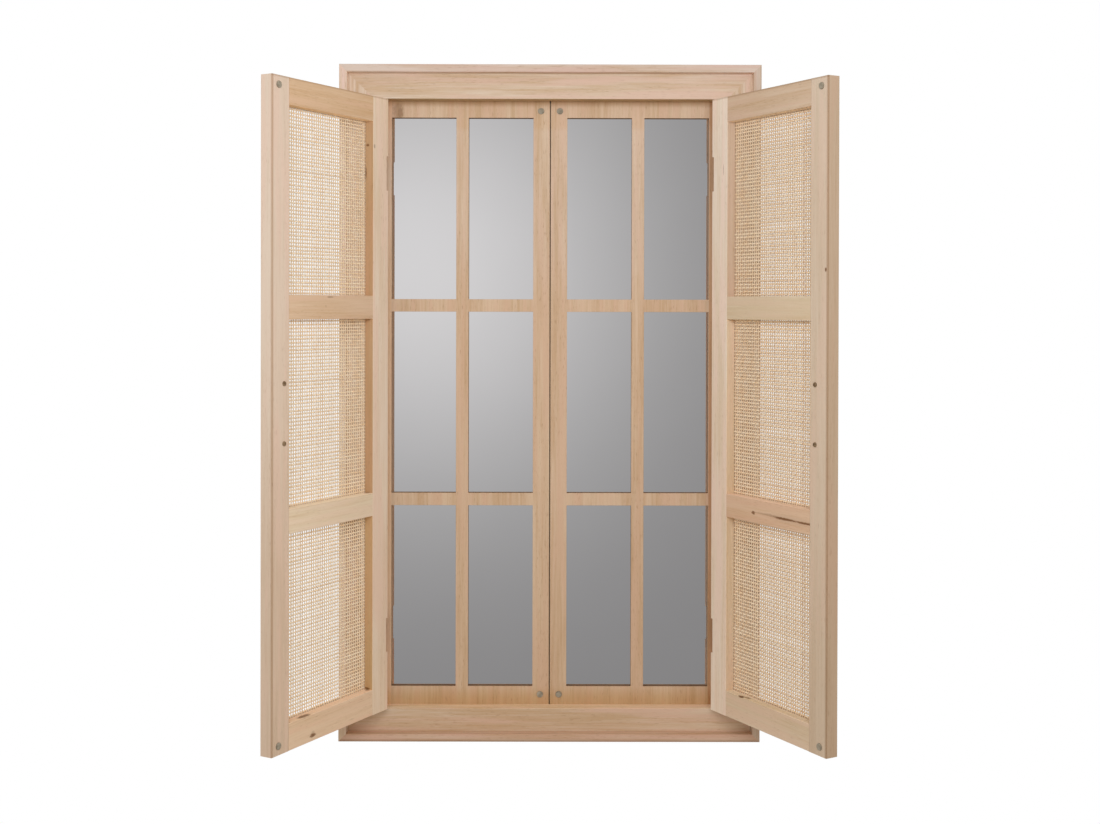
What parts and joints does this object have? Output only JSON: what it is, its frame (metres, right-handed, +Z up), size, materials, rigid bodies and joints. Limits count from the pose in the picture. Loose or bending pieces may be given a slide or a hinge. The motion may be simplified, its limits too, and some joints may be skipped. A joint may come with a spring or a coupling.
{
  "type": "mirror",
  "caption": "Wall mirror made like a shuttered window: shallow wooden case, windowpane lattice over mirror glass, two hinged doors with cane panels and magnet catches.",
  "frame": {"origin": "middle of the back, on the wall: halfway across and halfway up the case", "axes": "+X to the right as the mirror is looked at, +Y away from the viewer into the wall, +Z up"},
  "size_m": [0.9295, 0.3344, 1.2],
  "materials": {
    "pale_wood": "bare open-grained wood, sanded",
    "panel_wood": "plain plywood",
    "cane_webbing": "natural open cane weave",
    "mirror_glass": "silvered glass",
    "hinge_brass": "dull brass",
    "magnet_steel": "bright plated",
    "handle_steel": "satin",
    "zinc_steel": "zinc plated"
  },
  "bodies": {
    "case": {"case_top": "pale_wood", "case_bottom": "pale_wood", "case_left": "pale_wood", "case_right": "pale_wood", "face_frame_top": "pale_wood", "face_frame_bottom": "pale_wood", "face_frame_left": "pale_wood", "face_frame_right": "pale_wood", "lattice_left": "pale_wood", "lattice_right": "pale_wood", "lattice_magnets": "magnet_steel", "mirror_glass_left": "mirror_glass", "mirror_glass_right": "mirror_glass", "back_panel": "panel_wood", "back_panel_screws": "zinc_steel", "hanger_plate_left": "zinc_steel", "hanger_plate_right": "zinc_steel", "hanger_screws": "zinc_steel", "case_hinge_screws": "hinge_brass", "case_left_upper_hinge_leaf": "hinge_brass", "case_left_lower_hinge_leaf": "hinge_brass", "left_hinge_pins": "hinge_brass", "case_right_upper_hinge_leaf": "hinge_brass", "case_right_lower_hinge_leaf": "hinge_brass", "right_hinge_pins": "hinge_brass"},
    "left_door": {"left_door_hinge_stile": "pale_wood", "left_door_meeting_stile": "pale_wood", "left_door_top_rail": "pale_wood", "left_door_upper_mid_rail": "pale_wood", "left_door_lower_mid_rail": "pale_wood", "left_door_bottom_rail": "pale_wood", "left_door_upper_cane": "cane_webbing", "left_door_middle_cane": "cane_webbing", "left_door_lower_cane": "cane_webbing", "left_door_cane_beads": "pale_wood", "left_door_magnets": "magnet_steel", "left_door_handle": "handle_steel", "left_door_handle_screws": "handle_steel", "left_door_hinge_screws": "hinge_brass", "left_door_upper_hinge_leaf": "hinge_brass", "left_door_lower_hinge_leaf": "hinge_brass"},
    "right_door": {"right_door_hinge_stile": "pale_wood", "right_door_meeting_stile": "pale_wood", "right_door_top_rail": "pale_wood", "right_door_upper_mid_rail": "pale_wood", "right_door_lower_mid_rail": "pale_wood", "right_door_bottom_rail": "pale_wood", "right_door_upper_cane": "cane_webbing", "right_door_middle_cane": "cane_webbing", "right_door_lower_cane": "cane_webbing", "right_door_cane_beads": "pale_wood", "right_door_magnets": "magnet_steel", "right_door_handle": "handle_steel", "right_door_handle_screws": "handle_steel", "right_door_hinge_screws": "hinge_brass", "right_door_upper_hinge_leaf": "hinge_brass", "right_door_lower_hinge_leaf": "hinge_brass"}
  },
  "joints": [
    {"name": "left_door_hinge", "type": "hinge", "parent": "case", "child": "left_door", "pos_m": [-0.31075, -0.0505, 0], "axis": [0, 0, -1], "range_deg": [-118.8, 46.2]},
    {"name": "right_door_hinge", "type": "hinge", "parent": "case", "child": "right_door", "pos_m": [0.31075, -0.0505, 0], "axis": [0, 0, 1], "range_deg": [-119.5, 45.5]}
  ]
}
